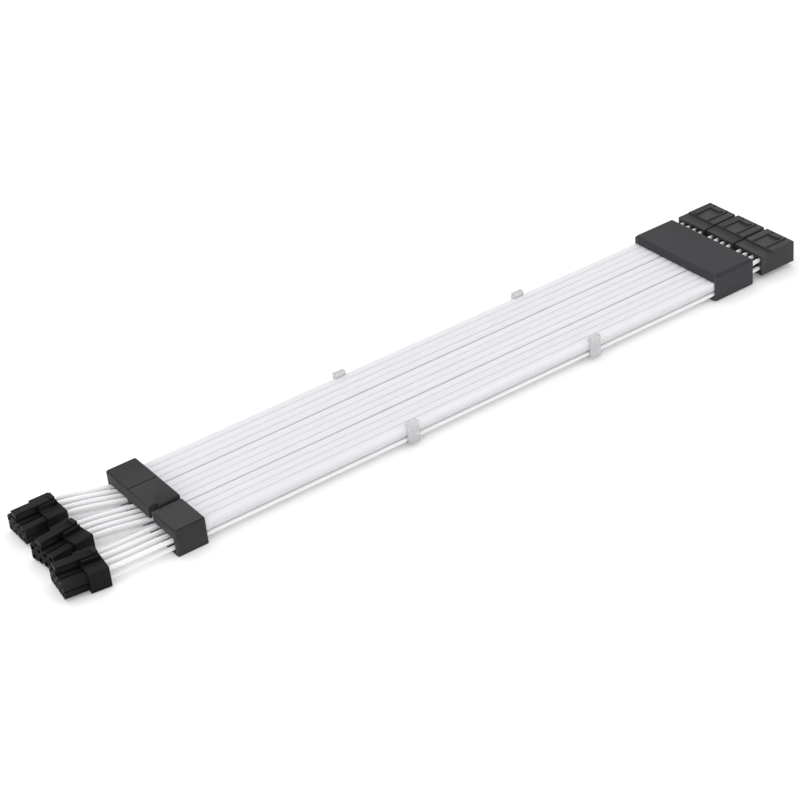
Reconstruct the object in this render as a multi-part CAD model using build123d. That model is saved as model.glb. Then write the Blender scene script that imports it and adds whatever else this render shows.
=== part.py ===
from build123d import *
import math
import os

# A lit extension lead for the power of a graphics card: three 8-way plugs
# (each a six-way and a two-way moulding), 24 white wires in one flat layer,
# twelve light guides over the wires with a lit strip under each four, a cap of
# two blocks where the guides end, two clear combs that keep everything flat, a
# control housing at the other end, and three 8-way sockets behind it.
# Millimetres. +X runs from the plugs to the sockets and +Z is up; z = 0 is the
# table. The origin lies under the middle of cap, guides, housing and sockets.

# ---------------------------------------------------------------- dimensions
WIDTH = 57.0             # width of cap and control housing
MODULE = 56.0 / 3.0      # spacing of the three 8-way shares
CAP_X0 = -170.6          # free end of the end cap
CAP_X1 = -155.9
CAP_H = (12.8, 13.9)     # height of the narrow and of the wide cap block
CAP_GAP = 0.8            # slit between the two cap blocks
HOUSING_X0 = 120.3       # face where the guides enter the control housing
HOUSING_X1 = 145.0
HOUSING_H = 13.6
SOCKET_L = 20.4
SOCKET_W = 18.2
SOCKET_Z0 = 2.0          # the short wires hold the sockets off the table
SOCKET_Z1 = 12.8
PITCH = 4.2              # contact pitch of the connector family
CONN_W = 18.0            # width of an 8-way plug body
CONN_H = 9.6             # height of a plug body
PLUG_L = 19.6            # plug body, rear face to nose
NOSE_L = 10.6            # keyed towers that enter a mating socket
WIRE_D = 2.0             # 18 AWG wire over its insulation
WIRE_GAP = 2.2           # spacing of the wires in the flat layer
WIRE_Z = 3.8             # centre height of the flat layer of wires
WIRE_STAGGER = 0.5       # neighbours lie this much below and above it
SLOT_Z0 = 2.22           # floor of the slots under the wires
GUIDE_W = 4.4            # one light guide
GUIDE_PITCH = 4.5
GUIDE_Z0 = 5.75          # underside of the light guides
GUIDE_Z1 = 9.8           # top of the light guides
SLOT_Z1 = 9.88           # ceiling of the slots over the guides
GUIDE_X0 = -159.5
GUIDE_X1 = 124.5
STRIP_X0 = -156.5
STRIP_T = 0.35           # flexible circuit under the guides
SHELL = 1.4              # wall of the moulded shells
CLIPS_X = (-52.6, 48.2)  # middle of each comb
CLIP_L = 5.6             # length of a comb along the ribbon
PLUG_ROWS = (2.7, 6.9)   # heights of the contact rows in a plug on the table
SOCKET_ROWS = (5.3, 9.5)  # and in a socket
CAP_ROWS = (2.9, 6.7)    # and where the wires leave the cap
CAP_WIRE_X = -168.5

LANES = (-MODULE, 0.0, MODULE)
LANE_NAMES = ("near", "middle", "far")
# The plugs lie free, each with its own place: centre of the rear face in x and
# y, and its turn about Z in degrees.
PLUGS = ((-199.1, -18.2, -7.0), (-195.6, 5.9, 8.0), (-194.2, 28.3, 0.0))
# The sockets hang behind the housing: rear face in x and centre in y.
SOCKETS = ((150.2, -19.2), (150.0, 0.5), (149.4, 19.85))

os.makedirs("parts", exist_ok=True)
made = {}


def save(name, shape):
    solids = list(shape.solids()) if not isinstance(shape, list) else shape
    out = solids[0] if len(solids) == 1 else Compound(children=solids)
    made[name] = out
    export_step(out, "parts/" + name + ".step")


def block(x0, x1, y0, y1, z0, z1):
    return Pos((x0 + x1) / 2, (y0 + y1) / 2, (z0 + z1) / 2) * Box(
        abs(x1 - x0), abs(y1 - y0), abs(z1 - z0)
    )


def cyl(x, y, z0, z1, r):
    return Pos(x, y, (z0 + z1) / 2) * Cylinder(r, z1 - z0)


def plug_frame(lane):
    x, y, turn = PLUGS[lane]
    return Location((x, y, 0), (0, 0, turn))


def column_y(c):
    return (c - 1.5) * PITCH


# --------------------------------------------------------------------- plugs
# Local frame: rear face at x = 0, nose towards -X, on the table.
def plug_part(columns, with_latch):
    ys = [column_y(c) for c in columns]
    lo = -CONN_W / 2 if 0 in columns else min(ys) - PITCH / 2 + 0.05
    hi = CONN_W / 2 if 3 in columns else max(ys) + PITCH / 2 - 0.05
    rear = NOSE_L - PLUG_L
    body = block(rear, 0, lo, hi, 0, CONN_H)
    body = fillet(body.edges().filter_by(Axis.X), 0.45)
    for c in columns:
        y = column_y(c)
        for r, z in enumerate(PLUG_ROWS):
            tower = block(-PLUG_L, rear + 1, y - 1.8, y + 1.8, z - 1.8, z + 1.8)
            # keying: every second tower has its two outer corners cut
            if (c + r) % 2 == 0:
                out = 1.0 if r == 1 else -1.0
                cut = [
                    e
                    for e in tower.edges().filter_by(Axis.X)
                    if (e.center().Z - z) * out > 0
                ]
                tower = chamfer(cut, 0.9)
            body += tower
    for c in columns:
        y = column_y(c)
        for z in PLUG_ROWS:
            body -= block(-PLUG_L + 2.2, 0.1, y - 1.4, y + 1.4, z - 1.4, z + 1.4)
            body -= block(-PLUG_L - 0.1, -PLUG_L + 3, y - 1.0, y + 1.0, z - 1.0, z + 1.0)
    if with_latch:
        # flexing lever moulded with the housing, its post, hook and thumb pad
        mid = sum(ys) / len(ys)
        y0, y1 = mid - 2.1, mid + 2.1
        body += block(-8.2, -5.6, y0, y1, CONN_H - 0.4, CONN_H + 1.4)
        body += block(-PLUG_L + 0.4, -0.8, y0, y1, CONN_H + 1.1, CONN_H + 2.2)
        body += block(-PLUG_L + 0.4, -PLUG_L + 2.2, y0, y1, CONN_H + 0.1, CONN_H + 1.4)
        body += block(-2.8, -0.8, y0, y1, CONN_H + 2.0, CONN_H + 2.8)
        # guard walls beside the lever
        for s in (-1, 1):
            yc = mid + s * 3.0
            body += block(-8.6, -0.6, yc - 0.4, yc + 0.4, CONN_H - 0.4, CONN_H + 1.6)
    return body


def terminal(k):
    """Crimped contact with a box-shaped sleeve at its mating end."""
    y, z = column_y(k // 2), PLUG_ROWS[k % 2]
    front = -PLUG_L + 3.2
    sleeve = block(front, front + 6.2, y - 1.0, y + 1.0, z - 1.0, z + 1.0)
    sleeve -= block(front - 0.1, front + 5.6, y - 0.7, y + 0.7, z - 0.7, z + 0.7)
    neck = block(front + 6.1, -5.6, y - 0.7, y + 0.7, z - 0.9, z - 0.3)
    crimp = block(-6.4, -4.4, y - 1.0, y + 1.0, z - 1.0, z + 1.0)
    return sleeve + neck + crimp


# ------------------------------------------------------------------- sockets
def socket(x0, yc):
    x1 = x0 + SOCKET_L
    body = block(x0, x1, yc - SOCKET_W / 2, yc + SOCKET_W / 2, SOCKET_Z0, SOCKET_Z1)
    body = fillet(body.edges().filter_by(Axis.X), 0.6)
    # shallow step: the rear part is a little lower than the shroud
    body -= block(x0 - 1, x0 + 6.6, yc - 12, yc + 12, SOCKET_Z1 - 0.6, SOCKET_Z1 + 1)
    # catch for the latch, and a rib each side of it
    ramp = block(x1 - 4.6, x1 - 2.4, yc - 3.2, yc + 3.2, SOCKET_Z1 - 0.3, SOCKET_Z1 + 1.2)
    edge = [
        e
        for e in ramp.edges().filter_by(Axis.Y)
        if e.center().Z > SOCKET_Z1 and e.center().X > x1 - 3
    ]
    body += chamfer(edge, 0.9)
    for s in (-1, 1):
        y = yc + s * 4.4
        body += block(x0 + 7.2, x1 - 0.8, y - 0.4, y + 0.4, SOCKET_Z1 - 0.3, SOCKET_Z1 + 0.7)
    for c in range(4):
        y = yc + column_y(c)
        for r, z in enumerate(SOCKET_ROWS):
            pocket = block(x1 - 11.0, x1 + 0.1, y - 1.9, y + 1.9, z - 1.9, z + 1.9)
            if (c + r) % 2 == 0:
                out = 1.0 if r == 1 else -1.0
                cut = [
                    e
                    for e in pocket.edges().filter_by(Axis.X)
                    if (e.center().Z - z) * out > 0
                ]
                pocket = chamfer(cut, 0.8)
            body -= pocket
            body -= block(x0 - 0.1, x0 + 7.4, y - 1.4, y + 1.4, z - 1.4, z + 1.4)
            body -= block(x0 + 7.3, x1 - 10.9, y - 0.9, y + 0.9, z - 0.9, z + 0.9)
    return body


def pin(x0, yc, k):
    """Male contact: square post with a pointed end, and its crimp."""
    x1 = x0 + SOCKET_L
    y, z = yc + column_y(k // 2), SOCKET_ROWS[k % 2]
    crimp = block(x0 + 4.8, x0 + 7.0, y - 1.0, y + 1.0, z - 1.0, z + 1.0)
    post = block(x0 + 6.9, x1 - 2.6, y - 0.54, y + 0.54, z - 0.54, z + 0.54)
    tip = [e for e in post.edges().filter_by(Axis.X, reverse=True) if e.center().X > x1 - 2.7]
    return crimp + chamfer(tip, 0.35)


# --------------------------------------------------------------------- wires
# Route of wire k of one share: from its contact in the socket, through the
# control housing into the flat layer, straight under the guides into the cap,
# there into two rows of four, and over the free stretch into its cavity of the
# plug.
def wire_route(lane, k):
    sx, sy = SOCKETS[lane]
    ys, zs = sy + column_y(k // 2), SOCKET_ROWS[k % 2]
    yw = LANES[lane] + (k - 3.5) * WIRE_GAP
    zw = WIRE_Z + (WIRE_STAGGER if k % 2 else -WIRE_STAGGER)
    px, py, turn = PLUGS[lane]
    ca, sa = math.cos(math.radians(turn)), math.sin(math.radians(turn))
    yp, zp = column_y(k // 2), PLUG_ROWS[k % 2]
    out = 3.2
    return [
        (sx + 4.8, ys, zs),
        (147.0, ys, zs),
        (134.0, yw, zw),
        (GUIDE_X0, yw, zw),
        (CAP_WIRE_X, LANES[lane] + column_y(k // 2), CAP_ROWS[k % 2]),
        (px + out * ca - yp * sa, py + out * sa + yp * ca, zp),
        (px - 4.4 * ca - yp * sa, py - 4.4 * sa + yp * ca, zp),
    ]


def wire(lane, k):
    pts = [Vector(*p) for p in wire_route(lane, k)]
    radii = []
    for a, b, c in zip(pts, pts[1:], pts[2:]):
        half = math.radians((b - a).get_angle(c - b)) / 2
        short = min((b - a).length, (c - b).length)
        # inside the housing and at the cap's mouth the room sets the arc
        tangent = min(0.45 * short, 4.5)
        radii.append(tangent / math.tan(half))
    path = FilletPolyline(*pts, radius=radii)
    start = path @ 0
    tube = sweep(Plane(origin=start, z_dir=path % 0) * Circle(WIRE_D / 2), path=path)
    return tube, path.length, radii


# ------------------------------------------------------------- guides, strips
def guide(y):
    g = block(GUIDE_X0, GUIDE_X1, y - GUIDE_W / 2, y + GUIDE_W / 2, GUIDE_Z0, GUIDE_Z1)
    top = [e for e in g.edges().filter_by(Axis.X) if e.center().Z > GUIDE_Z0 + 1]
    g = fillet(top, 0.7)
    # a channel under the guide takes the row of emitters
    return g - block(GUIDE_X0 + 6, GUIDE_X1 + 1, y - 1.4, y + 1.4, GUIDE_Z0 - 1, GUIDE_Z0 + 1.5)


def strip(yc):
    s = block(STRIP_X0, 130.8, yc - 8.6, yc + 8.6, GUIDE_Z0 - STRIP_T, GUIDE_Z0)
    for j in range(4):
        y = yc + (j - 1.5) * GUIDE_PITCH
        for i in range(13):
            x = -150.0 + i * 22.0
            s += block(x - 1.1, x + 1.1, y - 1.0, y + 1.0, GUIDE_Z0 - 0.1, GUIDE_Z0 + 1.1)
    return s


# ------------------------------------------------------------------- end cap
SIDE = 0.7               # side wall of cap and housing beside the outer guide
CAP_SPLIT = 3.8
NOTCH_W = 3.2
MOUTHS = (0.0, 0.3, 0.6)  # each mouth lies a little towards where its plug lies


def cap_outer(y0, y1, h):
    c = block(CAP_X0, CAP_X1, y0, y1, 0, h)
    c = fillet(c.edges().filter_by(Axis.Z), 1.0)
    top = [e for e in c.edges() if e.center().Z > h - 0.01]
    return chamfer(top, 0.6)


def cap_pair(y0, y1, h, lanes):
    """A block in two halves: y0 and y1 are its sides, outer ones at WIDTH / 2."""
    outer = cap_outer(y0, y1, h)
    ceiling = CAP_H[0] - 1.4
    # the slit is wider where the wires come out, between two bundles
    yn = -MODULE / 2
    outer -= block(CAP_X0 - 1, -166.2, yn - NOTCH_W / 2, yn + NOTCH_W / 2, -1, h + 1)
    # towards a slit the block is open beside its guides
    in0 = y0 + SIDE if y0 < 1 - WIDTH / 2 else y0 - 1
    in1 = y1 - SIDE if y1 > WIDTH / 2 - 1 else y1 + 1
    for lane in lanes:
        ym = LANES[lane] + MOUTHS[lane]
        # mouth of the wires, and room behind it where they form their two rows
        outer -= block(CAP_X0 - 1, CAP_X0 + 1.3, ym - 8.2, ym + 8.2, 1.7, 8.3)
        outer -= block(CAP_X0 + 1.2, -166.9, ym - 8.2, ym + 8.2, 1.7, ceiling)
    outer -= block(-167.1, -159.7, in0, in1, 1.7, ceiling)
    # the front part lies close over the guides and under the wires
    outer -= block(-159.8, CAP_X1 + 1, in0, in1, SLOT_Z0, SLOT_Z1)
    if len(lanes) == 2:
        # shallow line between the two shares of the wide block
        yg = sum(LANES[lane] for lane in lanes) / 2
        outer -= block(CAP_X0 - 1, CAP_X1 + 1, yg - 0.25, yg + 0.25, h - 0.35, h + 1)
    low = outer & block(CAP_X0 - 1, CAP_X1 + 1, y0 - 1, y1 + 1, -1, CAP_SPLIT)
    high = outer & block(CAP_X0 - 1, CAP_X1 + 1, y0 - 1, y1 + 1, CAP_SPLIT, h + 1)
    return high, low


# ----------------------------------------------------------- control housing
HOUSING_SPLIT = 5.2
BOSSES = ((142.9, -9.35), (142.9, 10.0))


def housing_outer():
    h = block(HOUSING_X0, HOUSING_X1, -WIDTH / 2, WIDTH / 2, 0, HOUSING_H)
    h = fillet(h.edges().filter_by(Axis.Z), 1.6)
    top = [e for e in h.edges() if e.center().Z > HOUSING_H - 0.01]
    h = chamfer(top, 1.2)
    bottom = [e for e in h.edges() if e.center().Z < 0.01]
    return chamfer(bottom, 0.5)


def housing_pair():
    outer = housing_outer()
    inner = block(HOUSING_X0 + SHELL, HOUSING_X1 - SHELL, -WIDTH / 2 + SIDE, WIDTH / 2 - SIDE, SHELL, HOUSING_H - SHELL)
    mouth = block(HOUSING_X0 - 1, HOUSING_X0 + SHELL + 1, -WIDTH / 2 + SIDE, WIDTH / 2 - SIDE, SLOT_Z0, SLOT_Z1)
    shell = outer - inner - mouth
    for x0, yc in SOCKETS:
        y1 = min(yc + 8.1, WIDTH / 2 - SIDE)
        shell -= block(HOUSING_X1 - SHELL - 1, HOUSING_X1 + 1, yc - 8.1, y1, 3.3, 10.8)
    # inlet of the control lead, in the far side wall
    shell -= block(131.0, 137.6, WIDTH / 2 - SIDE - 1, WIDTH / 2 + 1, 7.4, 10.8)
    for x, y in BOSSES:
        shell += cyl(x, y, SHELL - 0.2, HOUSING_H - SHELL + 0.2, 1.5)
    low = shell & block(HOUSING_X0 - 1, HOUSING_X1 + 1, -WIDTH, WIDTH, -1, HOUSING_SPLIT)
    high = shell & block(HOUSING_X0 - 1, HOUSING_X1 + 1, -WIDTH, WIDTH, HOUSING_SPLIT, HOUSING_H + 1)
    for x, y in BOSSES:
        low -= cyl(x, y, -1, HOUSING_SPLIT + 1, 0.95)
        low -= cyl(x, y, -1, 1.5, 1.75)
        low += cyl(x, y, 1.5, 2.4, 1.75) - cyl(x, y, 1.4, 2.5, 0.95)
        high -= cyl(x, y, HOUSING_SPLIT - 1, 11.0, 0.9)
    return high, low


def screw(x, y):
    head = cyl(x, y, 0.3, 1.5, 1.6)
    head -= block(x - 0.95, x + 0.95, y - 0.2, y + 0.2, 0.2, 0.9)
    head -= block(x - 0.2, x + 0.2, y - 0.95, y + 0.95, 0.2, 0.9)
    return head + cyl(x, y, 1.4, 10.2, 0.85)


def board():
    b = block(122.4, 140.9, -26.6, 26.6, 10.9, 12.0)
    for yc in LANES:
        # plug-in strip connector, down to the strip of this share
        b += block(127.4, 130.6, yc - 6.0, yc + 6.0, GUIDE_Z0, 11.0)
    b += block(132.4, 138.4, -6.0, 0.0, 9.7, 11.0)       # controller
    b += block(133.0, 136.4, 7.0, 11.4, 9.9, 11.0)       # regulator
    # header behind the inlet, its cavity open to the side
    header = block(131.4, 137.2, 21.6, 27.2, 7.7, 11.0)
    header -= block(131.9, 136.7, 22.6, 27.3, 8.2, 10.4)
    for i in range(3):
        header += block(132.8 + i * 1.5 - 0.2, 132.8 + i * 1.5 + 0.2, 22.5, 26.2, 9.1, 9.5)
    return b + header


# ---------------------------------------------------------------------- comb
def comb(x):
    x0, x1 = x - CLIP_L / 2, x + CLIP_L / 2
    y_in, y_out = 27.65, 29.0
    c = block(x0, x1, -y_out, y_out, 1.1, 2.2)
    for s in (-1, 1):
        c += block(x0, x1, s * y_in, s * y_out, 1.1, 11.9)
        # hook over the outer guide
        c += block(x0, x1, s * (y_in - 1.3), s * y_out, SLOT_Z1, 11.9)
        # tooth between two shares
        c += block(x0, x1, s * MODULE / 2 - 0.25, s * MODULE / 2 + 0.25, 2.1, 9.4)
    outer = [
        e
        for e in c.edges().filter_by(Axis.X)
        if abs(e.center().Y) > y_out - 0.01
    ]
    return fillet(outer, 0.6)


# -------------------------------------------------------------------- output
terminals, pins, radius_list = [], [], []
for lane, name in enumerate(LANE_NAMES):
    place = plug_frame(lane)
    save("gpu_plug_six_way_" + name, place * plug_part((1, 2, 3), True))
    save("gpu_plug_two_way_" + name, place * plug_part((0,), False))
    save("psu_socket_" + name, socket(*SOCKETS[lane]))
    save("led_strip_" + name, strip(LANES[lane]))
    for j in range(4):
        save("light_guide_%s_%d" % (name, j + 1), guide(LANES[lane] + (j - 1.5) * GUIDE_PITCH))
    for k in range(8):
        terminals.extend((place * terminal(k)).solids())
        pins.extend(pin(*SOCKETS[lane], k).solids())
        tube, length, radii = wire(lane, k)
        section = math.pi * WIRE_D**2 / 4
        radius_list.append(min(radii))
        ratio = tube.volume / (section * length)
        if k in (0, 7) or abs(ratio - 1) > 0.01:
            print("wire", name, k + 1, "length", round(length, 1), "volume ratio", round(ratio, 4), "radii", [round(r, 1) for r in radii])
        save("wire_%s_%d" % (name, k + 1), tube)
print("smallest arc radius of any wire", round(min(radius_list), 1))
save("plug_terminals", terminals)
save("socket_pins", pins)

edge_y = -MODULE / 2
high, low = cap_pair(-WIDTH / 2, edge_y - CAP_GAP / 2, CAP_H[0], (0,))
save("end_cap_top_narrow", high)
save("end_cap_bottom_narrow", low)
high, low = cap_pair(edge_y + CAP_GAP / 2, WIDTH / 2, CAP_H[1], (1, 2))
save("end_cap_top_wide", high)
save("end_cap_bottom_wide", low)

high, low = housing_pair()
save("control_housing_top", high)
save("control_housing_bottom", low)
save("housing_screws", [s for x, y in BOSSES for s in screw(x, y).solids()])
save("control_board", board())
save("cable_comb_plug_side", comb(CLIPS_X[0]))
save("cable_comb_socket_side", comb(CLIPS_X[1]))
print(len(made), "nodes")
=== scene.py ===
import bmesh
import bpy
import math
import random
from mathutils import Matrix, Vector


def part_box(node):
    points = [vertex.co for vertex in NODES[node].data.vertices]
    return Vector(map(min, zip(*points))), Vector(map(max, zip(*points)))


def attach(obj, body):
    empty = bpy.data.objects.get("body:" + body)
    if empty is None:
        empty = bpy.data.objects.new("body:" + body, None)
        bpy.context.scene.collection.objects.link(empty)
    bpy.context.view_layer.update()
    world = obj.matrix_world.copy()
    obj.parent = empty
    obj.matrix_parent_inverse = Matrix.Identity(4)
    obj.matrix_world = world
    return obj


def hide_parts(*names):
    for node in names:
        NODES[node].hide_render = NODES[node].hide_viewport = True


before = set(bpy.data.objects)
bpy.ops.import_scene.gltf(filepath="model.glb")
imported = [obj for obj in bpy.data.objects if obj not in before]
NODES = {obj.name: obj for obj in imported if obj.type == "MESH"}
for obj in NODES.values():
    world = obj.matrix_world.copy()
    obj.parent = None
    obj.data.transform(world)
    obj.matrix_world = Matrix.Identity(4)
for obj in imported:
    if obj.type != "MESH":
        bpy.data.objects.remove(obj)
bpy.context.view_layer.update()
scene = bpy.context.scene
RNG = random.Random(11)

# ------------------------------------------------------------ named sizes, mm
MODULE = 56.0 / 3.0
PITCH = 4.2
WIRE_D = 2.0
WIRE_GAP = 2.2
WIRE_Z = 3.8
WIRE_STAGGER = 0.5
GUIDE_X0 = -159.5
CAP_WIRE_X = -168.5
PLUG_ROWS = (2.7, 6.9)
SOCKET_ROWS = (5.3, 9.5)
CAP_ROWS = (2.9, 6.7)
LANES = (-MODULE, 0.0, MODULE)
LANE_NAMES = ("near", "middle", "far")
PLUGS = ((-199.1, -18.2, -7.0), (-195.6, 5.9, 8.0), (-194.2, 28.3, 0.0))
SOCKETS = ((150.2, -19.2), (150.0, 0.5), (149.4, 19.85))


# ------------------------------------------------------------------- materials
class Mat:
    """Small helper that keeps one Principled material and its node tree."""

    def __init__(self, name, **sockets):
        self.mat = bpy.data.materials.new(name)
        self.mat.use_nodes = True
        self.tree = self.mat.node_tree
        self.bsdf = self.tree.nodes["Principled BSDF"]
        for key, value in sockets.items():
            self.bsdf.inputs[key.replace("_", " ")].default_value = value
        self.coord = self.tree.nodes.new("ShaderNodeTexCoord")
        self.height = None

    def node(self, kind, **inputs):
        n = self.tree.nodes.new(kind)
        for key, value in inputs.items():
            n.inputs[key.replace("_", " ")].default_value = value
        return n

    def link(self, a, b):
        self.tree.links.new(a, b)

    def mapping(self, scale):
        m = self.node("ShaderNodeMapping")
        m.inputs["Scale"].default_value = scale
        self.link(self.coord.outputs["Object"], m.inputs["Vector"])
        return m.outputs["Vector"]

    def noise(self, scale, stretch=(1, 1, 1), detail=4.0, rough=0.55):
        n = self.node("ShaderNodeTexNoise", Scale=scale, Detail=detail, Roughness=rough)
        self.link(self.mapping(stretch), n.inputs["Vector"])
        return n.outputs["Fac"]

    def ramp(self, fac, stops):
        r = self.node("ShaderNodeValToRGB")
        e = r.color_ramp.elements
        while len(e) < len(stops):
            e.new(0.5)
        for item, (pos, col) in zip(e, stops):
            item.position = pos
            item.color = (*col, 1.0)
        self.link(fac, r.inputs["Fac"])
        return r.outputs["Color"]

    def colour(self, fac, stops):
        self.link(self.ramp(fac, stops), self.bsdf.inputs["Base Color"])

    def range(self, fac, lo, hi, a=0.0, b=1.0):
        r = self.node("ShaderNodeMapRange")
        r.inputs["From Min"].default_value = a
        r.inputs["From Max"].default_value = b
        r.inputs["To Min"].default_value = lo
        r.inputs["To Max"].default_value = hi
        self.link(fac, r.inputs["Value"])
        return r.outputs["Result"]

    def roughness(self, fac, lo, hi, a=0.3, b=0.7):
        self.link(self.range(fac, lo, hi, a, b), self.bsdf.inputs["Roughness"])

    def bump(self, fac, strength, distance):
        b = self.node("ShaderNodeBump", Strength=strength, Distance=distance)
        self.link(fac, b.inputs["Height"])
        if self.height is not None:
            self.link(self.height, b.inputs["Normal"])
        self.height = b.outputs["Normal"]
        self.link(self.height, self.bsdf.inputs["Normal"])

    def edges(self, base_stops, light, sharp=(0.50, 0.56)):
        """Base colour from noise, with a painted highlight that makes convex edges a little lighter."""
        g = self.node("ShaderNodeNewGeometry")
        # mask of convex edges, which get a painted highlight colour
        painted_edge_highlight = self.range(g.outputs["Pointiness"], 0.0, 1.0, *sharp)
        mix = self.node("ShaderNodeMix")
        mix.data_type = "RGBA"
        self.link(painted_edge_highlight, mix.inputs["Factor"])
        self.link(base_stops, mix.inputs["A"])
        mix.inputs["B"].default_value = (*light, 1.0)
        self.link(mix.outputs["Result"], self.bsdf.inputs["Base Color"])


def plastic(name, dark, light, painted_edge_highlight, rough, grain=2600.0, depth=0.00002, spec=0.45):
    """Moulded black plastic with a fine spark-eroded grain."""
    m = Mat(name, Specular_IOR_Level=spec)
    cloud = m.noise(90.0, detail=5.0)
    # convex edges are painted lighter as a highlight, using the third colour
    m.edges(m.ramp(cloud, [(0.3, dark), (0.7, light)]), painted_edge_highlight)
    fine = m.noise(grain, detail=3.0, rough=0.7)
    m.roughness(fine, rough[0], rough[1])
    m.bump(fine, 0.55, depth)
    m.bump(m.noise(160.0, detail=2.0), 0.12, 0.00006)
    return m.mat


# the third colour of each plastic is the painted highlight on its convex edges
PLUG = plastic("nylon_plug", (0.0028, 0.0028, 0.003), (0.005, 0.005, 0.0053), (0.018, 0.018, 0.019), (0.36, 0.52), 1900.0, 0.000012, 0.06)
SOCKET = plastic("nylon_socket", (0.012, 0.0125, 0.013), (0.019, 0.0197, 0.0202), (0.045, 0.045, 0.046), (0.4, 0.55), 1900.0, 0.000012, 0.22)
CAP = plastic("cap_plastic", (0.0085, 0.0083, 0.0095), (0.0125, 0.0122, 0.0137), (0.042, 0.0415, 0.044), (0.48, 0.66), 2600.0, 0.00002, 0.2)
HOUSING = plastic("housing_plastic", (0.0165, 0.016, 0.019), (0.0225, 0.0218, 0.0252), (0.05, 0.049, 0.053), (0.5, 0.68), 2600.0, 0.00002, 0.27)


def guide_material():
    m = Mat("milky_guide", Roughness=0.34, IOR=1.49, Subsurface_Weight=0.6, Subsurface_Scale=0.003)
    m.bsdf.inputs["Subsurface Radius"].default_value = (1.0, 0.95, 0.92)
    long = m.noise(1.0, (7.0, 520.0, 160.0), detail=4.0, rough=0.6)
    m.colour(long, [(0.25, (0.745, 0.742, 0.768)), (0.5, (0.775, 0.773, 0.795)), (0.8, (0.805, 0.804, 0.82))])
    m.roughness(long, 0.28, 0.44)
    m.bump(long, 0.25, 0.00006)
    m.bump(m.noise(700.0, detail=3.0), 0.12, 0.00002)
    return m.mat


def wire_material():
    m = Mat("white_insulation", Roughness=0.4, IOR=1.5, Subsurface_Weight=0.08, Subsurface_Scale=0.0006)
    tone = m.noise(60.0, (0.4, 1, 1), detail=4.0)
    m.colour(tone, [(0.3, (0.91, 0.91, 0.92)), (0.7, (0.945, 0.945, 0.95))])
    m.roughness(tone, 0.32, 0.48)
    m.bump(m.noise(900.0, (0.25, 1, 1), detail=3.0), 0.16, 0.00002)
    return m.mat


def clear_material():
    m = Mat("clear_comb", Roughness=0.2, IOR=1.45, Transmission_Weight=0.5, Specular_IOR_Level=0.35)
    tone = m.noise(120.0, detail=3.0)
    m.colour(tone, [(0.3, (0.82, 0.83, 0.835)), (0.7, (0.88, 0.885, 0.888))])
    m.roughness(m.noise(400.0, detail=3.0), 0.14, 0.28)
    m.bump(m.noise(300.0, detail=2.0), 0.1, 0.00004)
    return m.mat


def strip_material():
    m = Mat("white_flex", Roughness=0.5)
    tone = m.noise(300.0, detail=4.0)
    m.colour(tone, [(0.3, (0.7, 0.7, 0.69)), (0.7, (0.8, 0.8, 0.79))])
    m.bump(m.noise(1500.0), 0.2, 0.00001)
    return m.mat


def metal_material(name, a, b, rough):
    m = Mat(name, Metallic=1.0)
    tone = m.noise(500.0, detail=4.0)
    m.colour(tone, [(0.3, a), (0.7, b)])
    m.roughness(tone, *rough)
    m.bump(m.noise(2500.0, (0.2, 1, 1)), 0.2, 0.000008)
    return m.mat


def board_material():
    m = Mat("solder_mask", Roughness=0.35)
    tone = m.noise(420.0, detail=5.0)
    m.colour(tone, [(0.35, (0.008, 0.03, 0.018)), (0.65, (0.014, 0.05, 0.028))])
    m.roughness(tone, 0.25, 0.45)
    m.bump(m.noise(900.0), 0.2, 0.00002)
    return m.mat


GUIDE, WIRE, CLEAR = guide_material(), wire_material(), clear_material()
FLEX, BOARD = strip_material(), board_material()
TIN = metal_material("tinned_contact", (0.62, 0.6, 0.55), (0.74, 0.72, 0.68), (0.22, 0.4))
STEEL = metal_material("black_screw", (0.05, 0.05, 0.052), (0.09, 0.09, 0.092), (0.3, 0.5))


# --------------------------------------------------------------------- helpers
def link(obj):
    scene.collection.objects.link(obj)
    return obj


def mesh_piece(name, bm, material, smooth=True):
    me = bpy.data.meshes.new(name)
    bm.normal_update()
    bm.to_mesh(me)
    bm.free()
    me.materials.append(material)
    for p in me.polygons:
        p.use_smooth = smooth
    return link(bpy.data.objects.new(name, me))


def softened(node, name, material, width=0.00022, segments=2):
    """A piece with the form of a CAD node and rounded moulded edges."""
    bm = bmesh.new()
    bm.from_mesh(NODES[node].data)
    bmesh.ops.remove_doubles(bm, verts=bm.verts, dist=2e-6)
    bmesh.ops.dissolve_limit(bm, angle_limit=math.radians(1.0), verts=bm.verts, edges=bm.edges)
    obj = mesh_piece(name, bm, material)
    obj.data.set_sharp_from_angle(angle=math.radians(32))
    mod = obj.modifiers.new("soft_edges", "BEVEL")
    mod.width = width
    mod.segments = segments
    mod.limit_method = "ANGLE"
    mod.angle_limit = math.radians(40)
    mod.use_clamp_overlap = True
    mod.harden_normals = False
    even = obj.modifiers.new("even_normals", "WEIGHTED_NORMAL")
    even.weight = 90
    even.keep_sharp = True
    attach(obj, "root")
    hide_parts(node)
    return obj


def dress(node, material):
    me = NODES[node].data
    me.materials.clear()
    me.materials.append(material)


# ------------------------------------------------------------- plugs, sockets
for lane in LANE_NAMES:
    for way in ("six", "two"):
        node = "gpu_plug_%s_way_%s" % (way, lane)
        softened(node, "plug_%s_way_%s" % (way, lane), PLUG, 0.0002)
    softened("psu_socket_" + lane, "socket_" + lane, SOCKET, 0.0002)

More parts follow.
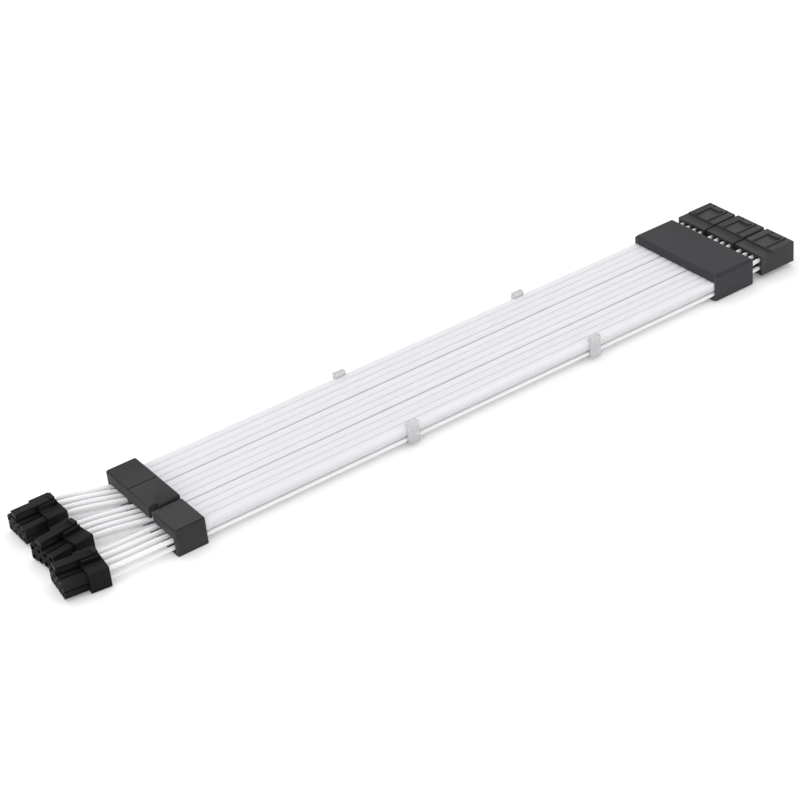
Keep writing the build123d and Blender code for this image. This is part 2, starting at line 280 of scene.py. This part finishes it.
softened("end_cap_top_narrow", "cap_narrow_upper", CAP, 0.0003)
softened("end_cap_top_wide", "cap_wide_upper", CAP, 0.0003)
softened("end_cap_bottom_narrow", "cap_narrow_lower", CAP, 0.0002)
softened("end_cap_bottom_wide", "cap_wide_lower", CAP, 0.0002)
softened("control_housing_top", "housing_upper", HOUSING, 0.0003)
softened("control_housing_bottom", "housing_lower", HOUSING, 0.0002)
softened("cable_comb_plug_side", "comb_plug_side", CLEAR, 0.00018)
softened("cable_comb_socket_side", "comb_socket_side", CLEAR, 0.00018)
dress("plug_terminals", TIN)
dress("socket_pins", TIN)
dress("housing_screws", STEEL)
dress("control_board", BOARD)
for lane in LANE_NAMES:
    dress("led_strip_" + lane, FLEX)


# ---------------------------------------------------------------- light guides
def guide_profile(half, z0, z1):
    """Section of a guide: crowned top, rounded shoulders, channel below."""
    pts = []
    r = 0.00055
    for i in range(7):                      # far shoulder
        a = math.radians(i * 15)
        pts.append((half - r + r * math.cos(a), z1 - 0.00012 - r + r * math.sin(a)))
    for i in range(1, 8):                   # crown
        t = i / 8
        y = (half - r) * (1 - 2 * t)
        pts.append((y, z1 - 0.00012 + 0.00012 * (1 - (1 - 2 * t) ** 2)))
    for i in range(7):                      # near shoulder
        a = math.radians(90 + i * 15)
        pts.append((-half + r + r * math.cos(a), z1 - 0.00012 - r + r * math.sin(a)))
    pts += [(-half, z0 + 0.0002), (-half + 0.0002, z0), (-0.0014, z0), (-0.0014, z0 + 0.0014),
            (-0.0012, z0 + 0.0016), (0.0012, z0 + 0.0016), (0.0014, z0 + 0.0014), (0.0014, z0),
            (half - 0.0002, z0), (half, z0 + 0.0002)]
    return pts


def build_guide(node, name):
    lo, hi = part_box(node)
    yc, half = (lo.y + hi.y) / 2, (hi.y - lo.y) / 2
    prof = guide_profile(half - 0.00003, lo.z, hi.z)
    bm = bmesh.new()
    rings = []
    steps = 72
    phase, lift = RNG.uniform(0, 6.28), RNG.uniform(0, 6.28)
    for i in range(steps + 1):
        x = lo.x + (hi.x - lo.x) * i / steps
        t = i / steps
        ease = math.sin(math.pi * t) ** 0.5 if 0 < t < 1 else 0.0
        dy = 0.00003 * math.sin(phase + t * 19) * ease
        dz = -0.00005 * (1 + math.sin(lift + t * 13)) * ease
        rings.append([bm.verts.new((x, yc + y + dy, z + (dz if z > lo.z + 0.002 else 0))) for y, z in prof])
    for a, b in zip(rings, rings[1:]):
        for j in range(len(prof)):
            k = (j + 1) % len(prof)
            bm.faces.new((a[j], a[k], b[k], b[j]))
    bm.faces.new(rings[0])
    bm.faces.new(list(reversed(rings[-1])))
    bmesh.ops.recalc_face_normals(bm, faces=bm.faces)
    obj = mesh_piece(name, bm, GUIDE)
    obj.data.set_sharp_from_angle(angle=math.radians(50))
    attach(obj, "root")
    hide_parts(node)
    return obj


for lane in LANE_NAMES:
    for j in range(4):
        build_guide("light_guide_%s_%d" % (lane, j + 1), "guide_%s_%d" % (lane, j + 1))


# ----------------------------------------------------------------------- wires
def column_y(c):
    return (c - 1.5) * PITCH


def wire_route(lane, k):
    """The route's points, with one more at each end of the long straight run."""
    sx, sy = SOCKETS[lane]
    ys, zs = sy + column_y(k // 2), SOCKET_ROWS[k % 2]
    yw = LANES[lane] + (k - 3.5) * WIRE_GAP
    zw = WIRE_Z + (WIRE_STAGGER if k % 2 else -WIRE_STAGGER)
    px, py, turn = PLUGS[lane]
    ca, sa = math.cos(math.radians(turn)), math.sin(math.radians(turn))
    yp, zp = column_y(k // 2), PLUG_ROWS[k % 2]
    out = 3.2
    return [
        (sx + 4.8, ys, zs),
        (147.0, ys, zs),
        (134.0, yw, zw),
        (121.0, yw, zw),
        (-150.5, yw, zw),
        (GUIDE_X0, yw, zw),
        (CAP_WIRE_X, LANES[lane] + column_y(k // 2), CAP_ROWS[k % 2]),
        (px + out * ca - yp * sa, py + out * sa + yp * ca, zp),
        (px - 4.4 * ca - yp * sa, py - 4.4 * sa + yp * ca, zp),
    ]


for lane, lane_name in enumerate(LANE_NAMES):
    for k in range(8):
        node = "wire_%s_%d" % (lane_name, k + 1)
        pts = [Vector(p) / 1000.0 for p in wire_route(lane, k)]
        cu = bpy.data.curves.new("lead_%s_%d" % (lane_name, k + 1), "CURVE")
        cu.dimensions = "3D"
        sp = cu.splines.new("NURBS")
        sp.points.add(len(pts) - 1)
        for q, p in zip(sp.points, pts):
            q.co = (*p, 1.0)
        sp.order_u = 3
        sp.use_endpoint_u = True
        sp.resolution_u = 10
        cu.bevel_depth = WIRE_D / 2000.0
        cu.bevel_resolution = 4
        cu.use_fill_caps = True
        cu.materials.append(WIRE)
        obj = link(bpy.data.objects.new(cu.name, cu))
        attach(obj, "root")
        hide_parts(node)
        way = "two" if k < 2 else "six"


# --------------------------------------------------------------- floor, lights
bm = bmesh.new()
bmesh.ops.create_grid(bm, x_segments=8, y_segments=8, size=5.0)
# the floor glows a little, as a light table does, so contact shadows stay faint
floor_mat = Mat("pale_floor", Roughness=0.85, Specular_IOR_Level=0.1, Emission_Strength=0.16)
floor_mat.bsdf.inputs["Emission Color"].default_value = (1.0, 1.0, 1.0, 1.0)
floor_mat.colour(floor_mat.noise(3.0), [(0.3, (0.93, 0.93, 0.932)), (0.7, (0.945, 0.945, 0.947))])
floor = mesh_piece("floor", bm, floor_mat.mat, False)
floor.location.z = -0.0002

world = bpy.data.worlds.new("studio")
scene.world = world
world.use_nodes = True
world.node_tree.nodes["Background"].inputs["Color"].default_value = (0.985, 0.99, 1.0, 1.0)
world.node_tree.nodes["Background"].inputs["Strength"].default_value = 0.9


def area(name, place, target, size, power, colour=(1, 1, 1)):
    light = bpy.data.lights.new(name, "AREA")
    light.shape = "RECTANGLE"
    light.size, light.size_y = size
    light.energy = power
    light.color = colour
    obj = link(bpy.data.objects.new(name, light))
    obj.location = place
    obj.rotation_mode = "QUATERNION"
    obj.rotation_quaternion = (Vector(target) - Vector(place)).to_track_quat("-Z", "Y")
    return obj


area("key", (0.25, 0.75, 1.9), (-0.02, 0.0, 0.0), (2.4, 1.8), 9.0, (1.0, 0.995, 0.985))
area("fill", (-1.8, -0.35, 0.75), (-0.1, 0.0, 0.0), (1.2, 0.9), 5.0)

# ---------------------------------------------------------------------- camera
AZ, EL, ROLL = math.radians(-32.361), math.radians(32.260), math.radians(-6.087)
back = Vector((math.sin(AZ) * math.cos(EL), -math.cos(AZ) * math.cos(EL), math.sin(EL)))
right = (-back).cross(Vector((0, 0, 1))).normalized()
up = right.cross(-back)
right, up = right * math.cos(ROLL) + up * math.sin(ROLL), up * math.cos(ROLL) - right * math.sin(ROLL)
cam_data = bpy.data.cameras.new("photo_camera")
cam_data.sensor_width = 36.0
cam_data.lens = 95.74
cam_data.clip_start, cam_data.clip_end = 0.05, 30.0
cam = link(bpy.data.objects.new("photo_camera", cam_data))
place = Vector((-0.46246, -0.66714, 0.50244))
cam.matrix_world = Matrix((
    (right.x, up.x, back.x, place.x),
    (right.y, up.y, back.y, place.y),
    (right.z, up.z, back.z, place.z),
    (0, 0, 0, 1),
))
scene.camera = cam
scene.view_settings.view_transform = "Standard"
scene.view_settings.look = "None"
